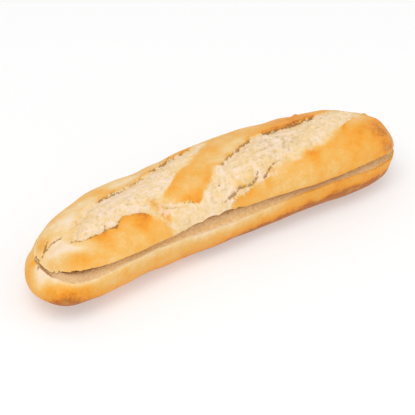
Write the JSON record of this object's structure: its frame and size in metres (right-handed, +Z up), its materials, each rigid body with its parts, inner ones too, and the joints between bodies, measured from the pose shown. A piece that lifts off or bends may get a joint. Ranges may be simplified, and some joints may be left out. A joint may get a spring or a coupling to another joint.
{
  "type": "baguette",
  "caption": "Short baked baguette with a bowed body, scores burst open along the top and a lengthwise cut hinged at the back for a filling.",
  "frame": {"origin": "on the flat underside's plane, below the middle of the loaf's bounding box", "axes": "+X along the loaf to its blunter end, +Y to its uncut back, where the cut is hinged, +Z up"},
  "size_m": [0.265, 0.0766, 0.0496],
  "materials": {
    "crust": "matte"
  },
  "bodies": {
    "root": {"loaf": "crust"}
  },
  "joints": []
}
